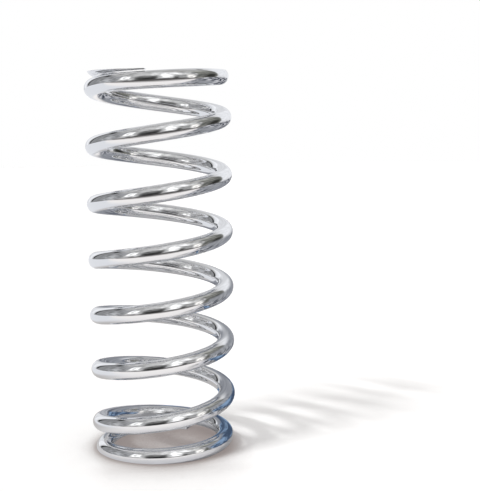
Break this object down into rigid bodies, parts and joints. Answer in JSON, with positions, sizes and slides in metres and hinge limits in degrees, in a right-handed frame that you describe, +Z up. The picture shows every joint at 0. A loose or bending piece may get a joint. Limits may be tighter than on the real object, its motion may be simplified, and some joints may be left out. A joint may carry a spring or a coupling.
{
  "type": "coilover spring",
  "caption": "Polished chrome helical compression spring for a coilover, right-hand wound from round wire, with closed ends ground flat and square.",
  "frame": {"origin": "on the spring's axis, at the lower ground face", "axes": "+Z up along the spring's axis to the upper ground face; the lower wire tip lies 65 degrees round from +X, and -Y faces the camera of the picture"},
  "size_m": [0.0878, 0.0878, 0.2286],
  "materials": {
    "chrome_wire": "polished chrome plating on round spring-steel wire, with ground end faces"
  },
  "bodies": {
    "root": {"coil_spring": "chrome_wire"}
  },
  "joints": []
}
